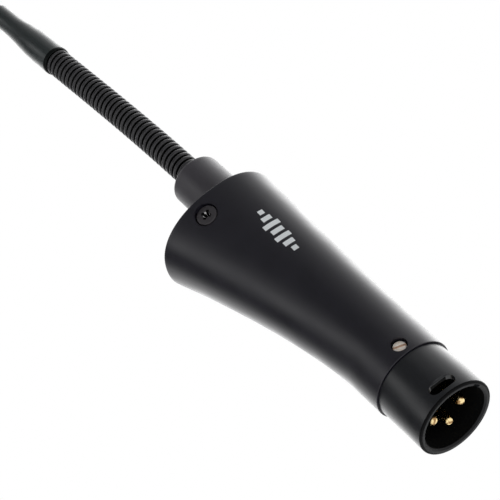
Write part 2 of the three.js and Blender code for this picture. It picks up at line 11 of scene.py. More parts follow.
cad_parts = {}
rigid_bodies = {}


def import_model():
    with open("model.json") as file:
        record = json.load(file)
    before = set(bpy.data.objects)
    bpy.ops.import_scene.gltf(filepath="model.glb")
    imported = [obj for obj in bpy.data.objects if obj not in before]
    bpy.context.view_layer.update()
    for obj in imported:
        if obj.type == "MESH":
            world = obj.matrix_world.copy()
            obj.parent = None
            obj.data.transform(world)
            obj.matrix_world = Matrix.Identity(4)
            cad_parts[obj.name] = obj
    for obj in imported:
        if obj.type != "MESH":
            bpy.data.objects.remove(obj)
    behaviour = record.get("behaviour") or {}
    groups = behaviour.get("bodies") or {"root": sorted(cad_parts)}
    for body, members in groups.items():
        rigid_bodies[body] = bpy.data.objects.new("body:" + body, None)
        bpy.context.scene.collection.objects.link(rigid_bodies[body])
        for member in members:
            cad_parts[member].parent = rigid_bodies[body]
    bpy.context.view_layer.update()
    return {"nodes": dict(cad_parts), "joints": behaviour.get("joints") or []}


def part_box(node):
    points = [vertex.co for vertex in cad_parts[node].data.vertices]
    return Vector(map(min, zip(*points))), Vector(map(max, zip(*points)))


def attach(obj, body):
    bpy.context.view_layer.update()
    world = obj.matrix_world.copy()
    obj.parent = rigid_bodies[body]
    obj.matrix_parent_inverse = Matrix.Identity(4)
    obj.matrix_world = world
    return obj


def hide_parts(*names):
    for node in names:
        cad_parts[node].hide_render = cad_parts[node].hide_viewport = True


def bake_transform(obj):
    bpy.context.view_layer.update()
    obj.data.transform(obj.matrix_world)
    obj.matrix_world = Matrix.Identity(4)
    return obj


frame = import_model()
NODES = frame["nodes"]
JOINTS = {joint["name"]: joint for joint in frame["joints"]}
MM = 0.001
UP = Vector((0, 0, 1))
FRONT = Vector((0, -1, 0))
IN_PLACE = Matrix.Identity(4)

# ---------- sizes read from the frame

SHELL_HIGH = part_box("plug_shell")[1]
HOUSING_LOW, HOUSING_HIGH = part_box("preamp_housing")
CAP_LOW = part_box("end_cap")[0]
COLLAR_LOW, COLLAR_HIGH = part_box("neck_collar")
SCREW_LOW, SCREW_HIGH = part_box("carrier_screw")

SHELL_RADIUS = SHELL_HIGH.x
HOUSING_TOP = HOUSING_HIGH.z
NECK_X = (COLLAR_LOW.x + COLLAR_HIGH.x) / 2
COLLAR_RADIUS = (COLLAR_HIGH.x - COLLAR_LOW.x) / 2
COLLAR_TOP = COLLAR_HIGH.z

# ---------- sizes of details

GAP = 0.3 * MM

# the seam between the shell and the housing, a little above the housing node's lower edge
SEAM_RISE = 0.25 * MM
SEAM_GAP = 0.09 * MM
HOUSING_BOTTOM = HOUSING_LOW.z + SEAM_RISE
SHELL_SHOULDER = HOUSING_BOTTOM - SEAM_GAP

SHELL_BORE = 8.05 * MM
MOUTH_FILLET = 0.55 * MM
MOUTH_CHAMFER = 0.4 * MM
SOCKET_DEPTH = 14.5 * MM
SPIGOT_RADIUS = 8.7 * MM
SPIGOT_BORE = 7.3 * MM

# the window's chamfer: distances from the axis and how much wider the window is there, in millimetres
LATCH_CHAMFER = ((6.5, 0.0), (8.95, 0.0), (9.2, 0.05), (9.45, 0.22), (9.8, 0.6))
LATCH_HEIGHT = 3.05 * MM
LATCH_WIDTH = 6.4 * MM
LATCH_TALL = 2.5 * MM
KEYWAY_ANGLE = math.radians(48.3)
KEYWAY_WIDTH = 1.9 * MM
KEYWAY_START = 7 * MM
KEYWAY_RADIUS = 8.85 * MM

PIN_RADIUS = 1.2 * MM
PIN_CUP_RADIUS = 1.6 * MM
PIN_CUP_BORE = 1.0 * MM
PIN_CUP_LENGTH = 4.8 * MM
PIN_CUP_DEPTH = 3.2 * MM

HOUSING_RADIUS = 9.95 * MM
HOUSING_WALL = 1.8 * MM
HOUSING_EDGE = 0.08 * MM
FLARE_START = 24 * MM
FLARE_POWER = 1.5
WIDE_CENTRE = -2.3 * MM
WIDE_FLARE = WIDE_CENTRE - HOUSING_LOW.x
WIDE_STRAIGHT = HOUSING_HIGH.x - WIDE_CENTRE
WIDE_DEPTH = 14.8 * MM
WIDE_SQUARENESS = 0.2
RIM_FILLET = 0.3 * MM

CAP_EDGE = 0.3 * MM
CAP_BORE = 4.6 * MM
CAP_TAP = 1.55 * MM

CARRIER_SCREW_HEIGHT = (SCREW_LOW.z + SCREW_HIGH.z) / 2
CARRIER_SCREW_RADIUS = 1.55 * MM
CARRIER_SCREW_HOLE = 1.85 * MM
CARRIER_SLOT_SIZE = (4 * MM, 0.55 * MM, 0.8 * MM)
CARRIER_SLOT_TURN = math.radians(-20)
CAP_SCREW_HEIGHT = 74.5 * MM
CAP_SCREW_ANGLE = math.radians(-112.4)
CAP_SCREW_HEAD = 2.5 * MM
CAP_SCREW_HOLE = 2.8 * MM
CAP_SCREW_SHANK = 1.25 * MM
CAP_SCREW_LENGTH = 7 * MM
CROSS_TURN = math.radians(14)
CROSS_CORNER = 0.42 * MM
CROSS_WIDTH = 0.75 * MM
CROSS_REACH = 1.35 * MM
CROSS_DEPTH = 1.3 * MM

# the printed bars: half widths in millimetres, from the plug end up
MARK_HALF_WIDTHS = (0.6, 1.1, 1.6, 1.25, 1.65, 1.0, 0.55)
MARK_HEIGHT = 59.4 * MM
MARK_X = -0.3 * MM
MARK_BAR = 1.3 * MM
MARK_PITCH = 2.15 * MM
MARK_LAYERS = (-0.02 * MM, 0.03 * MM)

LOWER_COIL_RADIUS = 3.6 * MM
LOWER_COIL_PITCH = 1.675 * MM
LOWER_COIL_GROOVE = 0.62 * MM
LOWER_COIL_BORE = 2.0 * MM
UPPER_COIL_RADIUS = 2.8 * MM
UPPER_COIL_PITCH = 1.3 * MM
UPPER_COIL_GROOVE = 0.42 * MM
UPPER_COIL_BORE = 1.4 * MM
UPPER_SOCKET = UPPER_COIL_RADIUS + 0.15 * MM
RIB_POWER = 2.4
RIB_SHARE = 0.74
RIB_ROWS = 10
COIL_SIDES = 48
COIL_TAIL = 6 * MM
SOCKET_LENGTH = 8.3 * MM


def half_link(section):
    """Half the distance between a flexible section's hinges."""
    first = Vector(JOINTS[f"{section}_nod_1"]["pos_m"])
    return (Vector(JOINTS[f"{section}_lean_1"]["pos_m"]) - first).length / 2


# heights from here on are measured along the neck from the last hinge of the section below
SLEEVE_MOUTH = half_link("lower")
SLEEVE_END = 34 * MM
SLEEVE_WIDE = 3.87 * MM
SLEEVE_NARROW = 2.86 * MM
TAPER_START = 13 * MM
TAPER_END = 28.5 * MM
FOLD_DEPTH = 0.04 * MM
FOLD_TWIST = 180
FLARE_DEPTH = 0.12 * MM
FLARE_FADE = 1.6 * MM
LIP_LENGTH = 1.0 * MM
LIP_DEPTH = 0.3 * MM
STEM_RADIUS = 2.4 * MM
STEM_BORE = 1.8 * MM
FERRULE_BOTTOM = 74.1 * MM
FERRULE_TOP = 87.1 * MM
FERRULE_RADIUS = 3.4 * MM
FERRULE_BORE = 2.5 * MM

HEAD_MOUTH = half_link("upper")
HEAD_RADIUS = 6.1 * MM
HEAD_REAR = 3.6 * MM
HEAD_FRONT = 31 * MM
HEAD_BORE = 5.3 * MM
HEAD_FLOOR = 16 * MM
HEAD_LEAD_HOLE = 1.3 * MM
HEAD_GROOVE = 28.2 * MM
PORT_COUNT = 6
PORT_HEIGHT = 20.5 * MM
PORT_SIZE = (1.4 * MM, 3 * MM, 4.5 * MM)
GRILLE_TOP = 39.5 * MM
GRILLE_WALL = 0.7 * MM
GRILLE_SHOULDER = 2.8 * MM
SIDE_SLOT_COUNT = 8
SIDE_SLOT_SIZE = (1.3 * MM, 3 * MM, 3.4 * MM)
FRONT_SLOTS = ((-1.9 * MM, 1.7 * MM), (0.0, 2.4 * MM), (1.9 * MM, 1.7 * MM))
FOAM_BOTTOM = 10 * MM
FOAM_TOP = 48 * MM
FOAM_RADIUS = 11 * MM
FOAM_BORE = HEAD_RADIUS + 0.2 * MM
FOAM_LIP = 1.2 * MM
FOAM_SKIRT = 7 * MM

# ---------- mesh helpers


def around(count):
    """Equal angles round a circle."""
    return [2 * math.pi * i / count for i in range(count)]


def quarter(steps):
    """Equal angles from nothing to a right angle."""
    return [math.pi / 2 * step / steps for step in range(steps + 1)]


def band(near, far, count):
    """The faces between two closed rings of points, given where each ring starts."""
    pairs = [(i, (i + 1) % count) for i in range(count)]
    return [(near + i, near + k, far + k, far + i) for i, k in pairs]


def add_object(name, data):
    obj = bpy.data.objects.new(name, data)
    bpy.context.scene.collection.objects.link(obj)
    return obj


def add_mesh(name, vertices, faces, material, sharp=32, merge=1e-7, depths=None):
    """A closed mesh object with outward faces, smooth except at edges steeper than sharp degrees."""
    mesh = bpy.data.meshes.new(name)
    mesh.from_pydata([tuple(v) for v in vertices], [], faces)
    if depths is not None:
        mesh.attributes.new("groove", "FLOAT", "POINT").data.foreach_set("value", depths)
    work = bmesh.new()
    work.from_mesh(mesh)
    bmesh.ops.remove_doubles(work, verts=work.verts, dist=merge)
    bmesh.ops.recalc_face_normals(work, faces=work.faces)
    work.to_mesh(mesh)
    work.free()
    obj = add_object(name, mesh)
    obj.data.materials.append(material)
    smooth(obj, sharp)
    return obj


def smooth(obj, sharp=32):
    obj.data.shade_smooth()
    obj.data.set_sharp_from_angle(angle=math.radians(sharp))


def rounded(profile, steps=5):
    """Turns the [radius, height, fillet] corners of a closed profile into short arcs."""
    points = []
    count = len(profile)
    for i, corner in enumerate(profile):
        here = Vector(corner[:2])
        fillet = corner[2] if len(corner) > 2 else 0
        before = Vector(profile[i - 1][:2]) - here
        after = Vector(profile[(i + 1) % count][:2]) - here
        if fillet <= 0 or before.length == 0 or after.length == 0:
            points.append(here)
            continue
        half = before.angle(after) / 2
        reach = min(fillet / math.tan(half), before.length * 0.49, after.length * 0.49)
        start = here + before.normalized() * reach
        end = here + after.normalized() * reach
        for step in range(steps + 1):
            t = step / steps
            points.append(start * (1 - t) ** 2 + here * 2 * t * (1 - t) + end * t**2)
    return points


def revolve(name, profile, sides, material, on_axis=False, sharp=32):
    """A solid of revolution about Z: a ring, or with on_axis a profile that starts and ends on the axis."""
    count = len(profile)
    rows = count - 1 if on_axis else count
    vertices = []
    faces = []
    for i, angle in enumerate(around(sides)):
        vertices += [(r * math.cos(angle), r * math.sin(angle), z) for r, z in profile]
        faces += band(i * count, ((i + 1) % sides) * count, count)[:rows]
    return add_mesh(name, vertices, faces, material, sharp)


def skin(name, rings, material):
    """A solid skinned over closed rings, with a flat face over the first and the last."""
    count = len(rings[0])
    vertices = [point for ring in rings for point in ring]
    faces = []
    for level in range(len(rings) - 1):
        faces += band(level * count, (level + 1) * count, count)
    faces.append(tuple(range(count)))
    faces.append(tuple(range(len(vertices) - count, len(vertices))))
    return add_mesh(name, vertices, faces, material)


def box_at(name, size, centre, material, turn=None):
    """A block, used only as a cutting tool."""
    half = Vector(size) / 2
    signs = [(-1, -1), (1, -1), (1, 1), (-1, 1)]
    rings = [[Vector((a * half.x, b * half.y, c * half.z)) for a, b in signs] for c in (-1, 1)]
    obj = skin(name, rings, material)
    obj.data.transform(Matrix.Translation(centre))
    if turn is not None:
        obj.data.transform(turn)
    return obj


def rod_along(name, start, direction, radius, length, material, sides=48):
    """A plain round rod, used only as a cutting tool."""
    rings = []
    for height in (0, length):
        ring = [(radius * math.cos(angle), radius * math.sin(angle), height) for angle in around(sides)]
        rings.append(ring)
    obj = skin(name, rings, material)
    turn = UP.rotation_difference(direction).to_matrix().to_4x4()
    obj.data.transform(Matrix.Translation(start) @ turn)
    return obj


def apply_modifiers(obj):
    graph = bpy.context.evaluated_depsgraph_get()
    graph.update()
    finished = bpy.data.meshes.new_from_object(obj.evaluated_get(graph))
    obj.modifiers.clear()
    obj.data = finished


def cut(obj, tools, sharp=32):
    """Cuts the tools out of the object. Their material marks the faces that they leave."""
    for tool in tools:
        change = obj.modifiers.new("cut", "BOOLEAN")
        change.operation = "DIFFERENCE"
        change.solver = "EXACT"
        change.material_mode = "TRANSFER"
        change.object = tool
    apply_modifiers(obj)
    for tool in tools:
        bpy.data.objects.remove(tool)
    smooth(obj, sharp)


def soften(obj, width):
    """Rounds the steep edges by a small bevel."""
    change = obj.modifiers.new("soften", "BEVEL")
    change.width = width
    change.segments = 2
    change.limit_method = "ANGLE"
    change.angle_limit = math.radians(40)
    change.miter_outer = "MITER_ARC"
    apply_modifiers(obj)
    smooth(obj, 50)


def settle(obj, place, body, slot, *replaced):
    """Places a piece, attaches it to the body it rides on and hides the CAD nodes it stands for. The slot
    argument is not used.
    """
    obj.data.transform(place)
    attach(obj, body)
    if replaced:
        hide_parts(*replaced)


# ---------- materials


def set_inputs(node, values):
    for name, value in values.items():
        node.inputs[name].default_value = value


class Finish:
    """A procedural material: a principled surface with helpers that add detail in object space."""

    def __init__(self, name, color, roughness, metallic=0.0, specular=0.5):
        self.material = bpy.data.materials.new(name)
        self.material.use_nodes = True
        self.nodes = self.material.node_tree.nodes
        self.links = self.material.node_tree.links
        self.surface = self.nodes["Principled BSDF"]
        set_inputs(self.surface, {
            "Base Color": (*color, 1), "Roughness": roughness, "Metallic": metallic,
            "Specular IOR Level": specular,
        })
        self.place = self.nodes.new("ShaderNodeTexCoord").outputs["Object"]
        self.height = None

    def noise(self, size, detail=3.0, stretch=(1, 1, 1)):
        """Noise whose features are about size metres, stretched along the axes."""
        mapping = self.nodes.new("ShaderNodeMapping")
        mapping.inputs["Scale"].default_value = stretch
        self.links.new(self.place, mapping.inputs["Vector"])
        texture = self.nodes.new("ShaderNodeTexNoise")
        set_inputs(texture, {"Scale": 1 / size, "Detail": detail})
        self.links.new(mapping.outputs["Vector"], texture.inputs["Vector"])
        return texture.outputs["Fac"]

    def cells(self, size):
        texture = self.nodes.new("ShaderNodeTexVoronoi")
        texture.inputs["Scale"].default_value = 1 / size
        self.links.new(self.place, texture.inputs["Vector"])
        return texture.outputs["Distance"]

    def ramp(self, source, low, high, start=0.3, end=0.7):
        """Maps a value from start to end onto low to high."""
        node = self.nodes.new("ShaderNodeMapRange")
        set_inputs(node, {"From Min": start, "From Max": end, "To Min": low, "To Max": high})
        self.links.new(source, node.inputs["Value"])
        return node.outputs["Result"]

    def roughness(self, source, low, high):
        self.links.new(self.ramp(source, low, high), self.surface.inputs["Roughness"])

    def tint(self, source, other, amount=1.0, start=0.3, end=0.7):
        """Mixes another colour in where the source is high."""
        mix = self.nodes.new("ShaderNodeMix")
        mix.data_type = "RGBA"
        before = self.surface.inputs["Base Color"]
        if before.links:
            self.links.new(before.links[0].from_socket, mix.inputs["A"])
        else:
            mix.inputs["A"].default_value = before.default_value
        mix.inputs["B"].default_value = (*other, 1)
        self.links.new(self.ramp(source, 0, amount, start, end), mix.inputs["Factor"])
        self.links.new(mix.outputs["Result"], before)

    def bump(self, source, depth):
        """Adds relief of the given depth in metres."""
        node = self.nodes.new("ShaderNodeBump")
        node.inputs["Distance"].default_value = depth
        self.links.new(source, node.inputs["Height"])
        if self.height is not None:
            self.links.new(self.height, node.inputs["Normal"])
        self.height = node.outputs["Normal"]
        self.links.new(self.height, self.surface.inputs["Normal"])

    def attribute(self, name):
        node = self.nodes.new("ShaderNodeAttribute")
        node.attribute_name = name
        return node.outputs["Fac"]


def painted(name, color, roughness, grain=0.28 * MM, relief=0.006 * MM, specular=0.5):
    """Satin paint with a fine powdery grain and faint handling marks."""
    look = Finish(name, color, roughness, specular=specular)
    fine = look.noise(grain)
    broad = look.noise(9 * MM, 4.0)
    look.roughness(broad, roughness - 0.04, roughness + 0.05)
    look.tint(broad, tuple(c * 1.35 for c in color), 0.5)
    look.bump(fine, relief)
    return look.material


def plated(name, color, patch_color, roughness, scratch=(1, 1, 12), metallic=1.0, patch=0.5 * MM, patch_edge=0.2):
    """Plated metal with darker patches, which are dull plating and on the gold pins also painted dark
    reflections, and fine scratches.
    """
    look = Finish(name, color, roughness, metallic=metallic)
    patches = look.noise(patch, 5.0)
    marks = look.noise(0.16 * MM, 2.0, scratch)
    look.tint(patches, patch_color, 0.8, 0.52 - patch_edge, 0.52 + patch_edge)
    look.roughness(marks, roughness * 0.6, roughness * 1.6)
    look.bump(marks, 0.01 * MM)
    return look.material


def moulded(name, color, roughness, specular=0.5):
    """Moulded plastic with a light texture."""
    look = Finish(name, color, roughness, specular=specular)
    look.bump(look.noise(0.2 * MM), 0.008 * MM)
    look.roughness(look.noise(4 * MM), roughness - 0.05, roughness + 0.08)
    return look.material


def coil_finish(name):
    """Black spring steel, grey on the crests, with painted shade that makes the grooves near black and dims
    their reflection.
    """
    look = Finish(name, (0.027, 0.0265, 0.03), 0.4)
    look.tint(look.noise(1.2 * MM, 4.0), (0.038, 0.037, 0.041), 0.7)
    # painted shade: the depth in the groove darkens the colour and lowers the reflection down in the grooves
    look.tint(look.attribute("groove"), (0.0012, 0.0012, 0.0012), start=0.16, end=0.48)
    look.links.new(look.ramp(look.attribute("groove"), 0.5, 0.04, 0.12, 0.5),
                   look.surface.inputs["Specular IOR Level"])
    look.roughness(look.noise(0.5 * MM), 0.32, 0.46)
    look.bump(look.noise(0.22 * MM), 0.01 * MM)
    return look.material


def sleeve_finish():
    """Shrink sleeve: smooth, slightly blue-green black with soft lengthwise ripples."""
    look = Finish("sleeve_shrink", (0.014, 0.021, 0.022), 0.3, specular=0.85)
    look.bump(look.noise(2.2 * MM, 2.0, (1, 1, 0.3)), 0.02 * MM)
    look.roughness(look.noise(3 * MM, 4.0), 0.27, 0.4)
    return look.material


def foam_finish():
    """Open-cell foam: rough, matt and full of small pores."""
    look = Finish("windscreen_foam", (0.012, 0.012, 0.013), 0.95, specular=0.2)
    pores = look.cells(0.7 * MM)
    look.tint(pores, (0.035, 0.035, 0.037), 0.9)
    look.bump(pores, 0.25 * MM)
    look.bump(look.noise(0.3 * MM, 4.0), 0.08 * MM)
    set_inputs(look.surface, {"Sheen Weight": 0.15, "Sheen Roughness": 0.6})
    return look.material


def board_finish():
    """Green solder mask with faint copper tracks under it."""
    look = Finish("board_mask", (0.01, 0.09, 0.035), 0.35)
    look.tint(look.noise(1.4 * MM, 1.0, (1, 1, 6)), (0.02, 0.16, 0.06), 1.0)
    look.bump(look.noise(1.4 * MM, 1.0, (1, 1, 6)), 0.02 * MM)
    return look.material


def mesh_finish():
    """Fine woven wire."""
    look = Finish("woven_mesh", (0.06, 0.06, 0.06), 0.4, metallic=1.0)
    for axis in ("X", "Y"):
        wave = look.nodes.new("ShaderNodeTexWave")
        wave.bands_direction = axis
        wave.inputs["Scale"].default_value = 1 / (1.2 * MM)
        look.links.new(look.place, wave.inputs["Vector"])
        look.tint(wave.outputs["Fac"], (0.005, 0.005, 0.005), 0.6)
        look.bump(wave.outputs["Fac"], 0.06 * MM)
    return look.material


SHELL_BLACK = painted("shell_black", (0.008, 0.009, 0.0115), 0.32)
HOUSING_BLACK = painted("housing_black", (0.0095, 0.009, 0.014), 0.34)
COLLAR_BLACK = painted("collar_black", (0.031, 0.028, 0.036), 0.48, relief=0.01 * MM, specular=0.9)
CAPSULE_BLACK = painted("capsule_black", (0.012, 0.012, 0.014), 0.4)
SCREW_BLACK = painted("screw_black", (0.034, 0.031, 0.035), 0.45, grain=0.4 * MM, relief=0.02 * MM)
STEM_BLACK = painted("stem_black", (0.012, 0.012, 0.014), 0.36)
# painted shade: near black with little reflection, for the socket's bore, the cross recess and the capsule's
# ports
RECESS_SHADE = moulded("painted_recess_shade", (0.002, 0.0022, 0.0022), 0.7, specular=0.08)
# painted shade: a darker, less reflective copy of the shell paint for the mouth face
RIM_SHADE = painted("rim_painted_shade", (0.008, 0.0085, 0.0095), 0.4, specular=0.16)
# painted shade: a dark line on the outer fillet round the mouth
EDGE_SHADE = painted("edge_painted_shade", (0.003, 0.0032, 0.0035), 0.5, specular=0.06)
# the gold's sharp dark patches are painted dark reflections, mixed with dull plating
GOLD = plated("contact_gold", (1.0, 0.8, 0.42), (0.2, 0.065, 0.01), 0.16, patch=0.8 * MM, patch_edge=0.05)
NICKEL = plated("worn_nickel", (0.95, 0.88, 0.8), (0.75, 0.6, 0.48), 0.4, (1, 1, 1))
SCREW_BRIGHT = plated("screw_bright", (1.0, 0.98, 0.92), (0.9, 0.72, 0.55), 0.45, (1, 1, 1), metallic=0.1)
SLOT_BROWN = plated("slot_brown", (0.8, 0.58, 0.44), (0.55, 0.36, 0.25), 0.5, (1, 1, 1), metallic=0.1)
# worn bright metal that also serves as a painted glint in the cross recess's corners
WORN_EDGE_GLINT = plated("worn_edge_glint", (0.95, 0.95, 0.96), (0.5, 0.5, 0.5), 0.4, (1, 1, 1), metallic=0.2)
CARRIER_BLACK = moulded("carrier_black", (0.004, 0.004, 0.004), 0.6, specular=0.12)
LEAD_GREY = moulded("lead_grey", (0.09, 0.09, 0.1), 0.5)
COMPONENT_GREY = moulded("component_grey", (0.05, 0.05, 0.06), 0.35)
GASKET_RUBBER = moulded("gasket_rubber", (0.008, 0.008, 0.008), 0.8)
PRINT_GREY = moulded("print_grey", (0.8, 0.83, 0.85), 0.5)
COIL_BLACK = coil_finish("coil_black")
SLEEVE_BLACK = sleeve_finish()
# painted shade: near black with little reflection, on the sleeve's turned-in mouth
LIP_SHADE = painted("sleeve_lip_shade", (0.002, 0.003, 0.003), 0.4, specular=0.1)
FOAM_BLACK = foam_finish()
BOARD_GREEN = board_finish()
WOVEN_MESH = mesh_finish()


def dress_hidden_nodes():
    """Gives the CAD nodes that stay visible or show when taken apart a finished material."""
    looks = (
        (CARRIER_BLACK, ("contact_carrier", "preamp_chip")),
        (BOARD_GREEN, ("preamp_board", "capsule_board")),
        (NICKEL, ("capsule_element", "neck_nut")),
        (GASKET_RUBBER, ("capsule_gasket",)),
        (WOVEN_MESH, ("grille_mesh",)),
        (COMPONENT_GREY, ("output_capacitor", "rf_choke")),
        (LEAD_GREY, ("pin_lead", "neck_lead", "stem_lead", "capsule_lead")),
    )
    for node, obj in NODES.items():
        for material, starts in looks:
            if node.startswith(starts):
                for slot in obj.material_slots:
                    slot.material = material


# ---------- housing outline


def housing_point(height, angle, inset=0.0):
    """The outline at a height and angle: round at the plug, egg-shaped and off-centre at the wide end."""
    rise = max(height - FLARE_START, 0) / (HOUSING_TOP - FLARE_START)
    flare = rise**FLARE_POWER
    side = WIDE_FLARE if math.cos(angle) < 0 else WIDE_STRAIGHT
    reach_x = HOUSING_RADIUS + (side - HOUSING_RADIUS) * flare - inset
    reach_y = HOUSING_RADIUS + (WIDE_DEPTH - HOUSING_RADIUS) * flare - inset
    power = 2 / (2 + WIDE_SQUARENESS * flare)
    x = math.copysign(abs(math.cos(angle)) ** power, math.cos(angle))
    y = math.copysign(abs(math.sin(angle)) ** power, math.sin(angle))
    return Vector((WIDE_CENTRE * flare + reach_x * x, reach_y * y, height))


def housing_ring(height, inset=0.0, sides=160):
    return [housing_point(height, angle, inset) for angle in around(sides)]


def cap_screw_place(side):
    """Where a cap screw sits and the way it faces. side is -1 at the front and 1 at the rear."""
    angle = CAP_SCREW_ANGLE * -side
    point = housing_point(CAP_SCREW_HEIGHT, angle)
    after = housing_point(CAP_SCREW_HEIGHT, angle + 0.01)
    along = after - housing_point(CAP_SCREW_HEIGHT, angle - 0.01)
    return point, Vector((along.y, -along.x, 0)).normalized()


# ---------- plug


def latch_tool():
    """The negative of the latch window: a rounded slot that widens into a chamfer at the outside."""
    straight = (LATCH_WIDTH - LATCH_TALL) / 2
    rings = []
    for depth, grow in LATCH_CHAMFER:
        reach = LATCH_TALL / 2 + grow * MM
        ring = []
        for angle in around(40):
            x = reach * math.cos(angle) + math.copysign(straight, math.cos(angle))
            ring.append(Vector((x, -depth * MM, LATCH_HEIGHT + reach * math.sin(angle))))
        rings.append(ring)
    return skin("latch_tool", rings, SHELL_BLACK)


def keyway_tool():
    length = KEYWAY_RADIUS - KEYWAY_START
    centre = Vector((0, -KEYWAY_START - length / 2, SOCKET_DEPTH / 2 - MOUTH_CHAMFER))
    return box_at("key_tool", (KEYWAY_WIDTH, length, SOCKET_DEPTH), centre, SHELL_BLACK,
                  Matrix.Rotation(KEYWAY_ANGLE, 4, "Z"))


def make_shell():
    profile = rounded([
        (SHELL_BORE, MOUTH_CHAMFER, 0.05 * MM), (SHELL_BORE + MOUTH_CHAMFER, 0, 0.1 * MM),
        (SHELL_RADIUS, 0, MOUTH_FILLET), (SHELL_RADIUS, SHELL_SHOULDER, 0.06 * MM),
        (SPIGOT_RADIUS, SHELL_SHOULDER), (SPIGOT_RADIUS, SHELL_HIGH.z), (SPIGOT_BORE, SHELL_HIGH.z),
        (SPIGOT_BORE, SOCKET_DEPTH), (SHELL_BORE, SOCKET_DEPTH),
    ])
    shell = revolve("plug_shell_body", profile, 144, SHELL_BLACK)
    screw_hole = rod_along("hole_tool", Vector((0, -6 * MM, CARRIER_SCREW_HEIGHT)), FRONT,
                           CARRIER_SCREW_RADIUS + GAP, 4 * MM, SHELL_BLACK)
    cut(shell, [latch_tool(), keyway_tool(), screw_hole], 40)
    bore_slot = len(shell.data.materials)
    for material in (RECESS_SHADE, RIM_SHADE, EDGE_SHADE):
        shell.data.materials.append(material)
    for face in shell.data.polygons:
        reach = math.hypot(face.center.x, face.center.y)
        faces_in = face.center.x * face.normal.x + face.center.y * face.normal.y < 0
        # the socket's bore: painted recess shade
        if reach < SHELL_BORE + 0.05 * MM and faces_in:
            face.material_index = bore_slot
        # the mouth's outer fillet: painted shade line
        elif reach > SHELL_RADIUS - MOUTH_FILLET and face.center.z < MOUTH_FILLET:
            face.material_index = bore_slot + 2
        # the mouth face: painted shade
        elif face.center.z < MOUTH_CHAMFER and face.normal.z < -0.5:
            face.material_index = bore_slot + 1
    settle(shell, IN_PLACE, "base", "plug_shell", "plug_shell")


def make_pins():
    """Contacts with a round tip, and at the back a hollow cup for the lead."""
    for number in (1, 2, 3):
        low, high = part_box(f"contact_pin_{number}")
        centre = (low + high) / 2
        tip = []
        for angle in quarter(10):
            tip.append((PIN_RADIUS * math.sin(angle), low.z + PIN_RADIUS * (1 - math.cos(angle))))
        cup = high.z - PIN_CUP_LENGTH
        floor = high.z - PIN_CUP_DEPTH
        profile = tip + [
            (PIN_RADIUS, cup), (PIN_CUP_RADIUS, cup + 0.1 * MM), (PIN_CUP_RADIUS, high.z),
            (PIN_CUP_BORE, high.z), (PIN_CUP_BORE, floor), (0, floor),
        ]
        pin = revolve(f"contact_pin_body_{number}", profile, 40, GOLD, on_axis=True)
        place = Matrix.Translation((centre.x, centre.y, 0))
        settle(pin, place, "base", "gold", f"contact_pin_{number}")


def make_carrier_screw():
    length = SCREW_HIGH.y - SCREW_LOW.y
    radius = CARRIER_SCREW_RADIUS
    profile = [
        (0, 0), (radius, 0), (radius, length - 0.25 * MM), (radius - 0.08 * MM, length - 0.1 * MM),
        (radius - 0.25 * MM, length - 0.01 * MM), (0, length),
    ]
    screw = revolve("carrier_screw_body", profile, 48, SCREW_BRIGHT, on_axis=True)
    slot = box_at("slot_tool", CARRIER_SLOT_SIZE, Vector((0, 0, length)), SLOT_BROWN,
                  Matrix.Rotation(CARRIER_SLOT_TURN, 4, "Z"))
    cut(screw, [slot])
    soften(screw, 0.05 * MM)
    centre = Matrix.Translation((0, SCREW_HIGH.y, CARRIER_SCREW_HEIGHT))
    settle(screw, centre @ Matrix.Rotation(math.pi / 2, 4, "X"), "base", "nickel", "carrier_screw")


# ---------- housing, cap, screws and collar


def make_housing():
    rings = [housing_ring(HOUSING_BOTTOM, HOUSING_EDGE)]
    for height in np.linspace(HOUSING_BOTTOM + HOUSING_EDGE, HOUSING_TOP - RIM_FILLET, 90):
        rings.append(housing_ring(height))
    for angle in quarter(6)[1:]:
        height = HOUSING_TOP - RIM_FILLET * (1 - math.sin(angle))
        rings.append(housing_ring(height, RIM_FILLET * (1 - math.cos(angle))))
    housing = skin("housing_body", rings, HOUSING_BLACK)
    inner_heights = np.linspace(FLARE_START, HOUSING_TOP + MM, 40)
    inner_rings = [housing_ring(height, HOUSING_WALL) for height in inner_heights]
    inner = skin("inner_tool", inner_rings, HOUSING_BLACK)
    bore = rod_along("bore_tool", Vector((0, 0, HOUSING_BOTTOM - MM)), UP, SPIGOT_RADIUS + GAP,
                     FLARE_START - HOUSING_BOTTOM + 2 * MM, HOUSING_BLACK, 96)
    holes = [rod_along("hole_tool", Vector((0, -7 * MM, CARRIER_SCREW_HEIGHT)), FRONT,
                       CARRIER_SCREW_HOLE, 5 * MM, HOUSING_BLACK, 64)]
    for side in (-1, 1):
        point, outward = cap_screw_place(side)
        holes.append(rod_along("cap_hole_tool", point - outward * 4 * MM, outward, CAP_SCREW_HOLE,
                               6 * MM, HOUSING_BLACK, 64))
    cut(housing, [inner, bore, *holes])
    settle(housing, IN_PLACE, "base", "housing", "preamp_housing")


def make_end_cap():
    inset = HOUSING_WALL + GAP / 2
    edge = CAP_EDGE
    rings = [housing_ring(height, inset) for height in np.linspace(CAP_LOW.z, HOUSING_TOP - edge, 8)]
    rings.append(housing_ring(HOUSING_TOP - edge * 0.3, inset + edge * 0.3))
    rings.append(housing_ring(HOUSING_TOP, inset + edge))
    cap = skin("end_cap_body", rings, HOUSING_BLACK)
    tools = [rod_along("hole_tool", Vector((NECK_X, 0, CAP_LOW.z - MM)), UP, CAP_BORE, 12 * MM,
                       HOUSING_BLACK, 64)]
    for side in (-1, 1):
        point, outward = cap_screw_place(side)
        tools.append(rod_along("tap_tool", point - outward * 9 * MM, outward, CAP_TAP, 10 * MM,
                               HOUSING_BLACK))
    cut(cap, tools)
    settle(cap, IN_PLACE, "base", "housing", "end_cap")


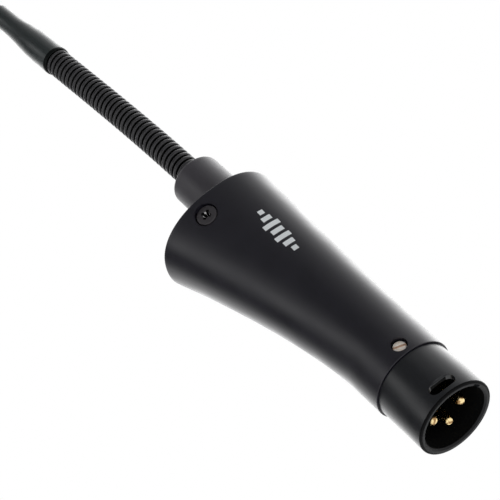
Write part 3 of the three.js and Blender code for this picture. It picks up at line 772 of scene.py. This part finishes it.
def cross_tool():
    """A tapered cross, the negative of a cross-head recess, lined with painted shade, with worn bright
    corners between the arms that also carry a painted glint.
    """
    rings = []
    for height, size, corner in ((-CROSS_DEPTH, 0.45, 0.02 * MM), (0.1 * MM, 1.05, CROSS_CORNER)):
        arm = CROSS_WIDTH / 2 * (0.75 + 0.25 * size)
        tip = CROSS_REACH * size
        ring = []
        for quarter in range(4):
            turn = Matrix.Rotation(quarter * math.pi / 2, 3, "Z")
            for x, y in ((tip, -arm), (tip, arm), (arm + corner, arm), (arm, arm + corner)):
                ring.append(turn @ Vector((x, y, height)))
        rings.append(ring)
    # the recess walls: painted shade
    tool = skin("recess_tool", rings, RECESS_SHADE)
    # the corners between the arms: wear and painted glint
    tool.data.materials.append(WORN_EDGE_GLINT)
    for face in tool.data.polygons:
        x, y = abs(face.center.x), abs(face.center.y)
        if x > CROSS_WIDTH / 4 and abs(x - y) < 0.05 * MM:
            face.material_index = 1
    tool.data.transform(Matrix.Rotation(CROSS_TURN, 4, "Z"))
    return tool


def make_cap_screws():
    head = CAP_SCREW_HEAD
    profile = [
        (0, -CAP_SCREW_LENGTH), (CAP_SCREW_SHANK, -CAP_SCREW_LENGTH), (CAP_SCREW_SHANK, -1.75 * MM),
        (head - 0.3 * MM, -1.75 * MM), (head, -1.2 * MM), (head, -0.4 * MM),
        (head - 0.06 * MM, -0.27 * MM), (head - 0.25 * MM, -0.2 * MM), (head * 0.5, -0.12 * MM),
        (0, -0.1 * MM),
    ]
    for side, place in ((-1, "front"), (1, "rear")):
        point, outward = cap_screw_place(side)
        screw = revolve(f"cap_screw_{place}_body", profile, 56, SCREW_BLACK, on_axis=True)
        cut(screw, [cross_tool()])
        turn = UP.rotation_difference(outward).to_matrix().to_4x4()
        seat = Matrix.Translation(point) @ turn
        settle(screw, seat, "base", "screw_black", f"cap_screw_{place}")


def make_collar():
    stem = 4.3 * MM
    socket = LOWER_COIL_RADIUS + 0.22 * MM
    floor = COLLAR_TOP - 10 * MM
    bore = 2.6 * MM
    bottom = HOUSING_TOP + GAP / 2
    profile = rounded([
        (bore, COLLAR_LOW.z), (stem, COLLAR_LOW.z), (stem, bottom), (COLLAR_RADIUS, bottom, 0.25 * MM),
        (COLLAR_RADIUS, COLLAR_TOP, 0.9 * MM), (socket, COLLAR_TOP, 0.2 * MM), (socket, floor),
        (bore, floor),
    ], 8)
    collar = revolve("neck_collar_body", profile, 96, COLLAR_BLACK)
    settle(collar, Matrix.Translation((NECK_X, 0, 0)), "base", "collar", "neck_collar")


def mark_bar(number, half_width, columns, rows):
    """One bar that follows the housing: the points of its inner and outer layer, row by row."""
    first = MARK_HEIGHT - MARK_PITCH * (len(MARK_HALF_WIDTHS) - 1) / 2
    points = []
    for lift in MARK_LAYERS:
        for row in range(rows + 1):
            height = first + MARK_PITCH * number + MARK_BAR * (row / rows - 0.5)
            front = housing_point(height, -math.pi / 2)
            reach = housing_point(height, 0).x
            for column in range(columns + 1):
                x = MARK_X + half_width * (2 * column / columns - 1)
                angle = -math.pi / 2 + (x - front.x) / reach
                points.append(housing_point(height, angle, -lift))
    return points


def make_printed_mark():
    """A row of plain bars, like a level display, where the real object has a printed name."""
    columns = 12
    rows = 6
    across = columns + 1
    layer_size = across * (rows + 1)
    border = [row * across for row in range(rows + 1)]
    border += [rows * across + column for column in range(1, across)]
    border += [row * across + columns for row in range(rows - 1, -1, -1)]
    border += list(range(columns - 1, 0, -1))
    vertices = []
    faces = []
    for number, half_width in enumerate(MARK_HALF_WIDTHS):
        start = len(vertices)
        vertices += mark_bar(number, half_width * MM, columns, rows)
        for row in range(rows):
            for column in range(columns):
                a = start + row * across + column
                faces.append((a, a + across, a + across + 1, a + 1))
                b = a + layer_size
                faces.append((b, b + 1, b + across + 1, b + across))
        for a, b in zip(border, border[1:] + border[:1]):
            faces.append((start + a, start + b, start + b + layer_size, start + a + layer_size))
    mark = add_mesh("printed_mark", vertices, faces, PRINT_GREY)
    settle(mark, IN_PLACE, "base", "component")


# ---------- neck


def link_points(section):
    """The section's hinge points and the mid-link points around them, from the frame's joints."""
    names = [f"{section}_{kind}_{number}" for number in (1, 2, 3) for kind in ("nod", "lean")]
    hinges = [Vector(JOINTS[name]["pos_m"]) for name in names]
    first = hinges[1] - hinges[0]
    last = hinges[-1] - hinges[-2]
    below = Vector(JOINTS[names[0]]["axis"]).cross(Vector((0, 1, 0)))
    middles = [hinges[0] - below * first.length / 2]
    middles += [(a + b) / 2 for a, b in zip(hinges, hinges[1:])]
    middles.append(hinges[-1] + last / 2)
    bodies = [JOINTS[names[0]]["parent"]] + [JOINTS[name]["child"] for name in names]
    return hinges, middles, bodies


class CoilPath:
    """The centre line of one coil piece: a bend across one hinge, with straight tails at its ends."""

    def __init__(self, start, hinge, end, begins_at, tail_before, tail_after):
        self.start = start
        self.hinge = hinge
        self.end = end
        self.begins_at = begins_at
        self.length = (hinge - start).length + (end - hinge).length
        self.low = begins_at - tail_before
        self.high = begins_at + self.length + tail_after

    def place(self, travelled):
        """The centre and direction at a distance along the whole coil."""
        t = (travelled - self.begins_at) / self.length
        inside = min(max(t, 0), 1)
        before = self.hinge - self.start
        after = self.end - self.hinge
        along = (before * (1 - inside) + after * inside).normalized()
        centre = self.start * (1 - inside) ** 2 + self.hinge * 2 * inside * (1 - inside)
        centre += self.end * inside**2
        return centre + along * (t - inside) * self.length, along

    def ring(self, travelled, angle, reach):
        centre, along = self.place(travelled)
        side = along.cross(Vector((0, 1, 0))).normalized()
        other = along.cross(side)
        return centre + (side * math.cos(angle) + other * math.sin(angle)) * reach


def rib_depth(travelled, angle, pitch):
    """How deep the helical groove is at a point: 0 on a rib's crest and 1 at the groove's bottom."""
    phase = (travelled / pitch - angle / (2 * math.pi)) % 1
    across = min(abs(2 * phase - 1) / RIB_SHARE, 1)
    return 1 - (1 - across**RIB_POWER) ** (1 / RIB_POWER)


def rib_row(step):
    """Where a row of points lies in one pitch: first the groove, then the rib, closer at its edges."""
    if step == 0:
        return 0.0
    return 0.5 - RIB_SHARE / 2 * math.cos(math.pi * (step - 1) / (RIB_ROWS - 2))


def helix_skin(path, radius, pitch, groove):
    """The outer wall, whose rows of points run along the helix and stop flat at both ends."""
    turns_low = math.floor(path.low / pitch) - 1
    turns_high = math.ceil(path.high / pitch) + 1
    rows = (turns_high - turns_low) * RIB_ROWS + 1
    vertices = []
    depths = []
    for row in range(rows):
        turn, step = divmod(row, RIB_ROWS)
        share = rib_row(step)
        for i, angle in enumerate(around(COIL_SIDES)):
            level = (turns_low + turn + share + i / COIL_SIDES) * pitch
            travelled = min(max(level, path.low), path.high)
            depth = rib_depth(travelled, angle, pitch)
            vertices.append(path.ring(travelled, angle, radius - groove * depth))
            depths.append(depth)
    faces = []
    for row in range(rows - 1):
        for i in range(COIL_SIDES):
            near = row * COIL_SIDES + i
            if i + 1 < COIL_SIDES:
                far = near + 1
            elif row + RIB_ROWS + 1 < rows:
                far = (row + RIB_ROWS) * COIL_SIDES
            else:
                continue
            faces.append((near, far, far + COIL_SIDES, near + COIL_SIDES))
    return vertices, depths, faces


def bore_skin(path, bore, rows=12):
    vertices = []
    for row in range(rows + 1):
        travelled = path.low + (path.high - path.low) * row / rows
        vertices += [path.ring(travelled, angle, bore) for angle in around(COIL_SIDES)]
    faces = []
    for row in range(rows):
        faces += band(row * COIL_SIDES, (row + 1) * COIL_SIDES, COIL_SIDES)
    return vertices, faces


def end_ring(path, travelled, radius, pitch, groove):
    """The outer wall's points at a flat end, in order round it."""
    ring = []
    for angle in around(COIL_SIDES):
        depth = groove * rib_depth(travelled, angle, pitch)
        ring.append(path.ring(travelled, angle, radius - depth))
    return ring


def coil_piece(name, path, radius, pitch, groove, bore):
    """Outer wall, bore and flat ends, with each point's depth in the groove kept for the finish's painted
    groove shade.
    """
    vertices, depths, faces = helix_skin(path, radius, pitch, groove)
    inner, inner_faces = bore_skin(path, bore)
    offset = len(vertices)
    vertices += inner
    faces += [tuple(offset + index for index in face) for face in inner_faces]
    for travelled, inner_start in ((path.low, offset), (path.high, len(vertices) - COIL_SIDES)):
        faces += band(len(vertices), inner_start, COIL_SIDES)
        vertices += end_ring(path, travelled, radius, pitch, groove)
    depths += [1.0] * (len(vertices) - len(depths))
    return add_mesh(name, vertices, faces, COIL_BLACK, 75, 2e-7, depths)


def make_coil(section, radius, pitch, groove, bore):
    """One continuous coil in six pieces, each bending smoothly across one hinge."""
    hinges, middles, bodies = link_points(section)
    travelled = 0.0
    for number, hinge in enumerate(hinges):
        start = middles[number]
        end = middles[number + 1]
        tail_before = COIL_TAIL if number == 0 else 0.0
        tail_after = COIL_TAIL if number == len(hinges) - 1 else 0.0
        path = CoilPath(start, hinge, end, travelled, tail_before, tail_after)
        travelled += path.length
        piece = coil_piece(f"{section}_coil_piece_{number + 1}", path, radius, pitch, groove, bore)
        replaced = [f"{section}_coil_{number + 1}"]
        if number == 0:
            replaced.append(f"{section}_coil_0")
        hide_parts(*replaced)
        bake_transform(piece)


def section_frame(section):
    """The placing of pieces beyond a flexible section: at its last hinge, with Z along the neck."""
    hinges, _, _ = link_points(section)
    along = (hinges[-1] - hinges[-2]).normalized()
    if section == "lower":
        along = (Vector(JOINTS["upper_nod_1"]["pos_m"]) - hinges[-1]).normalized()
    turn = UP.rotation_difference(along).to_matrix().to_4x4()
    return Matrix.Translation(hinges[-1]) @ turn


def sleeve_point(height, angle, inset):
    """A point of the sleeve's wall: a taper with faint folds, and a mouth that turns in over the coil."""
    t = min(max((height - TAPER_START) / (TAPER_END - TAPER_START), 0), 1)
    radius = SLEEVE_WIDE + (SLEEVE_NARROW - SLEEVE_WIDE) * t * t * (3 - 2 * t)
    folds = FOLD_DEPTH * math.sin(3 * angle + height * FOLD_TWIST) * math.sin(math.pi * t)
    above = height - SLEEVE_MOUTH
    flare = FLARE_DEPTH * math.exp(-above / FLARE_FADE)
    turned_in = max(1 - above / LIP_LENGTH, 0)
    reach = radius + folds + flare - LIP_DEPTH * (1 - math.sqrt(1 - turned_in**2)) - inset
    if inset > 0 and above < LIP_LENGTH:
        reach = max(reach, LOWER_COIL_RADIUS + 0.04 * MM)
    return Vector((reach * math.cos(angle), reach * math.sin(angle), height))


def make_sleeve(place):
    """The shrink sleeve over the coil's end and the stem."""
    rows = 90
    lip_rows = 12
    sides = 72
    wall = 0.2 * MM
    lip_end = SLEEVE_MOUTH + LIP_LENGTH
    heights = [SLEEVE_MOUTH + LIP_LENGTH * row / lip_rows for row in range(lip_rows)]
    heights += [lip_end + (SLEEVE_END - lip_end) * row / rows for row in range(rows + 1)]
    walls = [(height, 0.0) for height in heights] + [(height, wall) for height in reversed(heights)]
    vertices = [sleeve_point(height, angle, inset) for height, inset in walls for angle in around(sides)]
    faces = []
    for row in range(len(walls)):
        faces += band(row * sides, ((row + 1) % len(walls)) * sides, sides)
    sleeve = add_mesh("neck_sleeve_body", vertices, faces, SLEEVE_BLACK)
    sleeve.data.materials.append(LIP_SHADE)
    # the last millimetre at the mouth: painted shade
    for face in sleeve.data.polygons:
        if face.center.z < lip_end:
            face.material_index = 1
    settle(sleeve, place, "stem", "sleeve", "neck_sleeve")


def make_stem(place):
    low = SLEEVE_MOUTH + SOCKET_LENGTH
    top = FERRULE_TOP - SOCKET_LENGTH
    profile = rounded([
        (STEM_BORE, low), (STEM_RADIUS, low, 0.1 * MM), (STEM_RADIUS, top, 0.1 * MM), (STEM_BORE, top),
    ])
    tube = revolve("stem_tube_body", profile, 56, STEM_BLACK)
    settle(tube, place, "stem", "stem", "stem_tube")


def make_ferrule(place):
    """The sleeve between the stem and the upper coil, with two turned grooves."""
    radius = FERRULE_RADIUS
    waist = radius - 0.22 * MM
    seat = FERRULE_TOP - SOCKET_LENGTH + 0.2 * MM
    profile = [(FERRULE_BORE, FERRULE_BOTTOM, 0.1 * MM), (radius, FERRULE_BOTTOM, 0.5 * MM)]
    for groove in (FERRULE_BOTTOM + 3.5 * MM, FERRULE_TOP - 4 * MM):
        profile += [
            (radius, groove - 0.5 * MM, 0.15 * MM), (waist, groove - 0.3 * MM, 0.15 * MM),
            (waist, groove + 0.3 * MM, 0.15 * MM), (radius, groove + 0.5 * MM, 0.15 * MM),
        ]
    profile += [
        (radius, FERRULE_TOP, 0.4 * MM), (UPPER_SOCKET, FERRULE_TOP, 0.12 * MM),
        (UPPER_SOCKET, seat), (FERRULE_BORE, seat),
    ]
    ferrule = revolve("stem_ferrule_body", rounded(profile, 4), 64, COLLAR_BLACK)
    settle(ferrule, place, "stem", "collar", "stem_ferrule")


# ---------- head


def make_capsule_housing(place):
    socket_top = HEAD_MOUTH + SOCKET_LENGTH
    profile = rounded([
        (UPPER_SOCKET, HEAD_MOUTH, 0.1 * MM), (HEAD_REAR, HEAD_MOUTH, 0.3 * MM),
        (4.1 * MM, 7 * MM, 2 * MM), (5.5 * MM, 12.4 * MM, 3 * MM), (HEAD_RADIUS, 15 * MM, 1.5 * MM),
        (HEAD_RADIUS, HEAD_GROOVE - 0.25 * MM, 0.05 * MM),
        (HEAD_RADIUS - 0.2 * MM, HEAD_GROOVE, 0.05 * MM),
        (HEAD_RADIUS, HEAD_GROOVE + 0.25 * MM, 0.05 * MM), (HEAD_RADIUS, HEAD_FRONT, 0.15 * MM),
        (HEAD_BORE, HEAD_FRONT), (HEAD_BORE, HEAD_FLOOR), (HEAD_LEAD_HOLE, HEAD_FLOOR),
        (HEAD_LEAD_HOLE, socket_top), (UPPER_SOCKET, socket_top),
    ], 6)
    housing = revolve("capsule_housing_body", profile, 96, CAPSULE_BLACK)
    ports = []
    for angle in around(PORT_COUNT):
        # the ports' walls: painted recess shade
        ports.append(box_at("port_tool", PORT_SIZE, Vector((0, -HEAD_RADIUS, PORT_HEIGHT)), RECESS_SHADE,
                            Matrix.Rotation(angle, 4, "Z")))
    cut(housing, ports)
    settle(housing, place, "head", "capsule_shell", "capsule_housing")


def make_grille(place):
    """A slotted cap with a rounded shoulder, whose inner wall follows the outer."""
    bottom = HEAD_FRONT + 0.15 * MM
    flat = HEAD_RADIUS - GRILLE_SHOULDER
    shoulder = GRILLE_TOP - 3 * MM
    angles = quarter(8)[1:]
    profile = [(0, GRILLE_TOP), (flat, GRILLE_TOP)]
    for angle in angles:
        profile.append((flat + GRILLE_SHOULDER * math.sin(angle), shoulder + 3 * MM * math.cos(angle)))
    profile += [
        (HEAD_RADIUS, bottom + 0.1 * MM), (HEAD_RADIUS - 0.1 * MM, bottom),
        (HEAD_RADIUS - GRILLE_WALL, bottom),
    ]
    for angle in reversed(angles):
        profile.append((flat + 2.1 * MM * math.sin(angle), shoulder + 2.3 * MM * math.cos(angle)))
    profile += [(flat, GRILLE_TOP - GRILLE_WALL), (0, GRILLE_TOP - GRILLE_WALL)]
    grille = revolve("capsule_grille_body", profile, 96, CAPSULE_BLACK, on_axis=True)
    tools = []
    for angle in around(SIDE_SLOT_COUNT):
        centre = Vector((0, -HEAD_RADIUS, bottom + 3.1 * MM))
        tools.append(box_at("slot_tool", SIDE_SLOT_SIZE, centre, CAPSULE_BLACK,
                            Matrix.Rotation(angle, 4, "Z")))
    for x, reach in FRONT_SLOTS:
        tools.append(box_at("front_slot_tool", (0.9 * MM, 2 * reach, 3 * MM),
                            Vector((x, 0, GRILLE_TOP)), CAPSULE_BLACK))
    cut(grille, tools)
    settle(grille, place, "head", "capsule_shell", "capsule_grille")


def foam_height(point):
    """Smooth pseudo-random relief from a few crossed waves, the same on every run."""
    x, y, z = (c / MM for c in point)
    relief = math.sin(2.9 * x + 1.3 * math.sin(1.7 * y + 0.6 * z))
    relief += math.sin(3.3 * y + 1.6 * math.sin(1.9 * z + 0.8 * x) + 1.1)
    relief += math.sin(3.1 * z + 1.4 * math.sin(2.3 * x + 0.7 * y) + 2.3)
    return relief / 3


def make_windscreen(place):
    """A foam cap with a rounded lip, straight sides and a domed end, uneven only on its outside."""
    straight_steps = 12
    lip = FOAM_BORE + FOAM_LIP
    lip_bottom = FOAM_BOTTOM + 0.2 * MM
    dome_height = FOAM_RADIUS * 1.2
    dome_start = FOAM_TOP - dome_height
    outline = [(lip, lip_bottom)]
    for angle in quarter(14)[1:]:
        reach = lip + (FOAM_RADIUS - lip) * math.sin(angle)
        outline.append((reach, lip_bottom + FOAM_SKIRT * (1 - math.cos(angle))))
    side_start = outline[-1][1]
    for step in range(1, straight_steps + 1):
        height = side_start + (dome_start - side_start) * step / straight_steps
        outline.append((FOAM_RADIUS, height))
    for angle in quarter(30)[1:-1]:
        outline.append((FOAM_RADIUS * math.cos(angle), dome_start + dome_height * math.sin(angle)))
    outline.append((0, FOAM_TOP))
    inner_top = GRILLE_TOP + 0.4 * MM
    profile = [
        (0, inner_top), (FOAM_BORE, inner_top), (FOAM_BORE, FOAM_BOTTOM + 0.6 * MM),
        (FOAM_BORE + 0.4 * MM, FOAM_BOTTOM),
    ] + outline
    foam = revolve("windscreen_foam_body", profile, 160, FOAM_BLACK, on_axis=True, sharp=60)
    for vertex in foam.data.vertices:
        reach = math.hypot(vertex.co.x, vertex.co.y)
        if reach > FOAM_BORE + 1.5 * MM or vertex.co.z > inner_top + 4 * MM:
            vertex.co += vertex.normal * (foam_height(vertex.co) * 0.12 - 0.14) * MM
    foam.data.update()
    foam.data.transform(place)
    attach(foam, "windscreen")
    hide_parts("windscreen")


# ---------- light and camera

CAMERA_AZIMUTH = -20.4
CAMERA_ELEVATION = -37.95
CAMERA_ROLL = -47.26
CAMERA_AIM = Vector((-3.1, 1.15, 70.4)) * MM
CAMERA_DISTANCE = 419 * MM
CAMERA_LENS = 129.6
SENSOR = 36.0

# each soft box: azimuth from +X, elevation, the angles where its light starts to fall and ends, and level
SOFT_BOXES = (
    (69.6, 36, 42, 70, 1.2),
    (69.6, 38, 18, 48, 1.05),
    (7.6, 27, 8, 50, 0.85),
    (24.0, 36, 6, 26, 1.1),
    (101.6, 31, 5, 30, 0.12),
    (214.6, 36, 4, 13, 1.6),
    (200.6, 23, 4, 13, 1.7),
    (187.6, 11, 4, 13, 1.6),
    (-45, 36, 5, 34, 0.32),
    (-95, 36, 10, 60, 0.1),
)
ROOM_LEVEL = 0.08
FRONT_LIGHT = (-100, -42)
FRONT_LIGHT_LEVEL = 4.9
FRONT_LIGHT_SPREAD = math.radians(50)
FLOOR_HEIGHT = -1.0
FLOOR_REACH = 6.0


def camera_back():
    """The direction from the object to the camera."""
    azimuth = math.radians(CAMERA_AZIMUTH)
    elevation = math.radians(CAMERA_ELEVATION)
    flat = math.cos(elevation)
    return Vector((math.sin(azimuth) * flat, -math.cos(azimuth) * flat, math.sin(elevation)))


def make_camera():
    data = bpy.data.cameras.new("camera")
    data.lens = CAMERA_LENS
    data.sensor_width = SENSOR
    data.clip_start = 0.01
    data.clip_end = 50
    camera = add_object("camera", data)
    back = camera_back()
    camera.location = CAMERA_AIM + back * CAMERA_DISTANCE
    camera.rotation_mode = "QUATERNION"
    roll = Quaternion((0, 0, 1), math.radians(CAMERA_ROLL))
    camera.rotation_quaternion = (-back).to_track_quat("-Z", "Y") @ roll
    bpy.context.scene.camera = camera


def make_world():
    """A dim room with soft boxes lights the object, and the camera sees plain white behind it."""
    world = bpy.data.worlds.new("studio")
    bpy.context.scene.world = world
    world.use_nodes = True
    nodes = world.node_tree.nodes
    links = world.node_tree.links
    background = nodes["Background"]
    background.inputs["Color"].default_value = (1, 1, 1, 1)
    direction = nodes.new("ShaderNodeTexCoord").outputs["Generated"]
    total = None
    for azimuth, elevation, inner, outer, level in SOFT_BOXES:
        facing = nodes.new("ShaderNodeVectorMath")
        facing.operation = "DOT_PRODUCT"
        facing.inputs[1].default_value = towards(azimuth, elevation)
        links.new(direction, facing.inputs[0])
        box = nodes.new("ShaderNodeMapRange")
        box.interpolation_type = "SMOOTHSTEP"
        start, end = math.cos(math.radians(outer)), math.cos(math.radians(inner))
        set_inputs(box, {"From Min": start, "From Max": end, "To Max": level})
        links.new(facing.outputs["Value"], box.inputs["Value"])
        add = nodes.new("ShaderNodeMath")
        add.inputs[1].default_value = ROOM_LEVEL
        links.new(box.outputs["Result"], add.inputs[0])
        if total is not None:
            links.new(total, add.inputs[1])
        total = add.outputs["Value"]
    path = nodes.new("ShaderNodeLightPath")
    seen = nodes.new("ShaderNodeMix")
    links.new(path.outputs["Is Camera Ray"], seen.inputs["Factor"])
    links.new(total, seen.inputs["A"])
    seen.inputs["B"].default_value = 1.0
    links.new(seen.outputs["Result"], background.inputs["Strength"])


def towards(azimuth, elevation):
    """The direction at an azimuth from +X and an elevation, in degrees."""
    turn = math.radians(azimuth)
    rise = math.radians(elevation)
    return Vector((math.cos(turn) * math.cos(rise), math.sin(turn) * math.cos(rise), math.sin(rise)))


def make_front_light():
    """A soft light from the front and below, which shows on the bright fittings."""
    data = bpy.data.lights.new("front_light", "SUN")
    data.energy = FRONT_LIGHT_LEVEL
    data.angle = FRONT_LIGHT_SPREAD
    light = add_object("front_light", data)
    light.rotation_mode = "QUATERNION"
    light.rotation_quaternion = towards(*FRONT_LIGHT).to_track_quat("Z", "Y")


def make_floor():
    """A pale floor far below, which the camera doesn't see, because the view is from underneath."""
    corners = [(x * FLOOR_REACH, y * FLOOR_REACH, FLOOR_HEIGHT)
               for x, y in ((-1, -1), (1, -1), (1, 1), (-1, 1))]
    look = Finish("floor_pale", (0.86, 0.86, 0.86), 0.8)
    look.roughness(look.noise(0.4), 0.75, 0.85)
    mesh = bpy.data.meshes.new("floor")
    mesh.from_pydata(corners, [], [(0, 1, 2, 3)])
    floor = add_object("floor", mesh)
    floor.data.materials.append(look.material)
    floor.visible_camera = False


# ---------- assembly

bpy.context.scene.view_settings.view_transform = "Standard"
make_camera()
make_world()
make_front_light()
make_floor()
dress_hidden_nodes()
make_shell()
make_pins()
make_carrier_screw()
make_housing()
make_end_cap()
make_cap_screws()
make_collar()
make_printed_mark()
make_coil("lower", LOWER_COIL_RADIUS, LOWER_COIL_PITCH, LOWER_COIL_GROOVE, LOWER_COIL_BORE)
make_coil("upper", UPPER_COIL_RADIUS, UPPER_COIL_PITCH, UPPER_COIL_GROOVE, UPPER_COIL_BORE)
stem_place = section_frame("lower")
head_place = section_frame("upper")
make_sleeve(stem_place)
make_stem(stem_place)
make_ferrule(stem_place)
make_capsule_housing(head_place)
make_grille(head_place)
make_windscreen(head_place)
